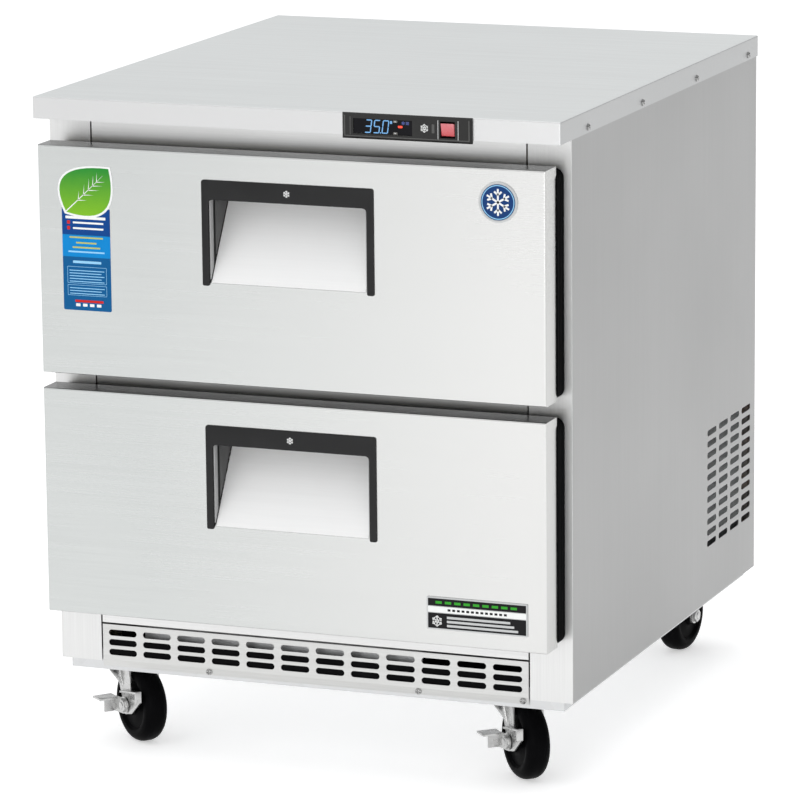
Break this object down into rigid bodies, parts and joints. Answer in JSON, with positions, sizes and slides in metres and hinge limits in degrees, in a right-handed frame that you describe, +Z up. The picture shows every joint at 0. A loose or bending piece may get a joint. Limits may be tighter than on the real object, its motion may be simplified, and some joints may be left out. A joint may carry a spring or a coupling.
{
  "type": "under counter fridge",
  "caption": "Two-drawer under counter fridge: insulated steel cabinet with worktop, recessed drawer handles, controller, louvred machine bay and swivel casters.",
  "frame": {"origin": "on the floor, under the centre of the outline box that holds the whole part with the drawers shut", "axes": "+X is the part's right seen from its front, -Y its front (drawer fronts), +Z up; Z = 0 is the floor under the wheels"},
  "size_m": [0.7102, 0.842, 0.85],
  "materials": {
    "wheel": "satin",
    "zinc": "satin",
    "gasket": "matte",
    "handle": "satin",
    "liner": "satin",
    "foam": "matte",
    "tray_steel": "satin",
    "drawer_steel": "satin",
    "body_steel": "satin",
    "galvanised": "satin",
    "screw": "satin",
    "bezel": "gloss",
    "display": "gloss",
    "key": "satin",
    "rocker": "gloss",
    "black_paint": "satin",
    "coil": "satin",
    "housing": "satin",
    "fan": "satin",
    "copper": "satin",
    "gland": "satin"
  },
  "bodies": {
    "cabinet": {"back_panel": "galvanised", "base_frame": "galvanised", "caster_plates": "zinc", "compressor": "black_paint", "condenser_coil": "coil", "condenser_shroud": "black_paint", "control_bezel": "bezel", "controller_module": "display", "evaporator_coil": "coil", "evaporator_housing": "housing", "fasteners": "screw", "frame_rail_middle": "body_steel", "frame_rail_top": "body_steel", "frame_sill": "body_steel", "frame_stile_left": "body_steel", "frame_stile_right": "body_steel", "inner_liner": "liner", "insulation": "foam", "kick_grille": "body_steel", "machine_cover": "galvanised", "power_inlet": "gland", "refrigerant_lines": "copper", "side_panel_left": "body_steel", "side_panel_right": "body_steel", "slide_racks": "tray_steel", "worktop": "body_steel", "worktop_underside": "galvanised"},
    "upper_drawer": {"upper_front": "drawer_steel", "upper_core": "foam", "upper_inner_panel": "liner", "upper_gasket": "gasket", "upper_handle": "handle", "upper_pan_frame": "tray_steel"},
    "upper_slides": {"upper_slide_members": "tray_steel"},
    "lower_drawer": {"lower_front": "drawer_steel", "lower_core": "foam", "lower_inner_panel": "liner", "lower_gasket": "gasket", "lower_handle": "handle", "lower_pan_frame": "tray_steel"},
    "lower_slides": {"lower_slide_members": "tray_steel"},
    "switch": {"rocker_switch": "rocker"},
    "key_up": {"key_up": "key"},
    "key_down": {"key_down": "key"},
    "condenser_fan": {"condenser_fan": "fan"},
    "evaporator_fan": {"evaporator_fan": "fan"},
    "caster_front_left": {"caster_fork_front_left": "zinc", "caster_axle_front_left": "zinc"},
    "wheel_front_left": {"caster_wheel_front_left": "wheel"},
    "brake_front_left": {"brake_lever_front_left": "zinc"},
    "caster_front_right": {"caster_fork_front_right": "zinc", "caster_axle_front_right": "zinc"},
    "wheel_front_right": {"caster_wheel_front_right": "wheel"},
    "brake_front_right": {"brake_lever_front_right": "zinc"},
    "caster_back_left": {"caster_fork_back_left": "zinc", "caster_axle_back_left": "zinc"},
    "wheel_back_left": {"caster_wheel_back_left": "wheel"},
    "caster_back_right": {"caster_fork_back_right": "zinc", "caster_axle_back_right": "zinc"},
    "wheel_back_right": {"caster_wheel_back_right": "wheel"}
  },
  "joints": [
    {"name": "upper_drawer_slide", "type": "slide", "parent": "cabinet", "child": "upper_drawer", "axis": [0, -1, 0], "range_m": [0, 0.4]},
    {"name": "upper_slide_extension", "type": "slide", "parent": "cabinet", "child": "upper_slides", "axis": [0, -1, 0], "range_m": [0, 0.2]},
    {"name": "lower_drawer_slide", "type": "slide", "parent": "cabinet", "child": "lower_drawer", "axis": [0, -1, 0], "range_m": [0, 0.4]},
    {"name": "lower_slide_extension", "type": "slide", "parent": "cabinet", "child": "lower_slides", "axis": [0, -1, 0], "range_m": [0, 0.2]},
    {"name": "switch_rock", "type": "hinge", "parent": "cabinet", "child": "switch", "pos_m": [0.20775, -0.401, 0.83425], "axis": [1, 0, 0], "range_deg": [-22, 0]},
    {"name": "key_up_press", "type": "slide", "parent": "cabinet", "child": "key_up", "axis": [0, 1, 0], "range_m": [0, 0.0008], "stiffness_N_per_m": 400},
    {"name": "key_down_press", "type": "slide", "parent": "cabinet", "child": "key_down", "axis": [0, 1, 0], "range_m": [0, 0.0008], "stiffness_N_per_m": 400},
    {"name": "condenser_fan_spin", "type": "hinge", "parent": "cabinet", "child": "condenser_fan", "pos_m": [0.251, 0.289, 0.262], "axis": [1, 0, 0], "continuous": true},
    {"name": "evaporator_fan_spin", "type": "hinge", "parent": "cabinet", "child": "evaporator_fan", "pos_m": [0, 0.273, 0.662], "axis": [0, 1, 0], "continuous": true},
    {"name": "caster_front_left_swivel", "type": "hinge", "parent": "cabinet", "child": "caster_front_left", "pos_m": [-0.266, -0.317, 0.1], "axis": [0, 0, 1], "continuous": true},
    {"name": "wheel_front_left_roll", "type": "hinge", "parent": "caster_front_left", "child": "wheel_front_left", "pos_m": [-0.25201, -0.32833, 0.05], "axis": [0.6293, 0.7771, 0], "continuous": true},
    {"name": "brake_front_left_press", "type": "hinge", "parent": "caster_front_left", "child": "brake_front_left", "pos_m": [-0.25201, -0.32833, 0.05], "axis": [0.6293, 0.7771, 0], "range_deg": [-18, 0]},
    {"name": "caster_front_right_swivel", "type": "hinge", "parent": "cabinet", "child": "caster_front_right", "pos_m": [0.266, -0.317, 0.1], "axis": [0, 0, 1], "continuous": true},
    {"name": "wheel_front_right_roll", "type": "hinge", "parent": "caster_front_right", "child": "wheel_front_right", "pos_m": [0.27828, -0.33016, 0.05], "axis": [0.7314, 0.682, 0], "continuous": true},
    {"name": "brake_front_right_press", "type": "hinge", "parent": "caster_front_right", "child": "brake_front_right", "pos_m": [0.27828, -0.33016, 0.05], "axis": [0.7314, 0.682, 0], "range_deg": [-18, 0]},
    {"name": "caster_back_left_swivel", "type": "hinge", "parent": "cabinet", "child": "caster_back_left", "pos_m": [-0.266, 0.358, 0.1], "axis": [0, 0, 1], "continuous": true},
    {"name": "wheel_back_left_roll", "type": "hinge", "parent": "caster_back_left", "child": "wheel_back_left", "pos_m": [-0.26974, 0.34039, 0.05], "axis": [0.9781, -0.2079, 0], "continuous": true},
    {"name": "caster_back_right_swivel", "type": "hinge", "parent": "cabinet", "child": "caster_back_right", "pos_m": [0.266, 0.358, 0.1], "axis": [0, 0, 1], "continuous": true},
    {"name": "wheel_back_right_roll", "type": "hinge", "parent": "caster_back_right", "child": "wheel_back_right", "pos_m": [0.26381, 0.34013, 0.05], "axis": [0.9925, -0.1219, 0], "continuous": true}
  ],
  "couplings": [
    {"joint": "upper_slide_extension", "follows": "upper_drawer_slide", "ratio": 0.5},
    {"joint": "lower_slide_extension", "follows": "lower_drawer_slide", "ratio": 0.5}
  ]
}
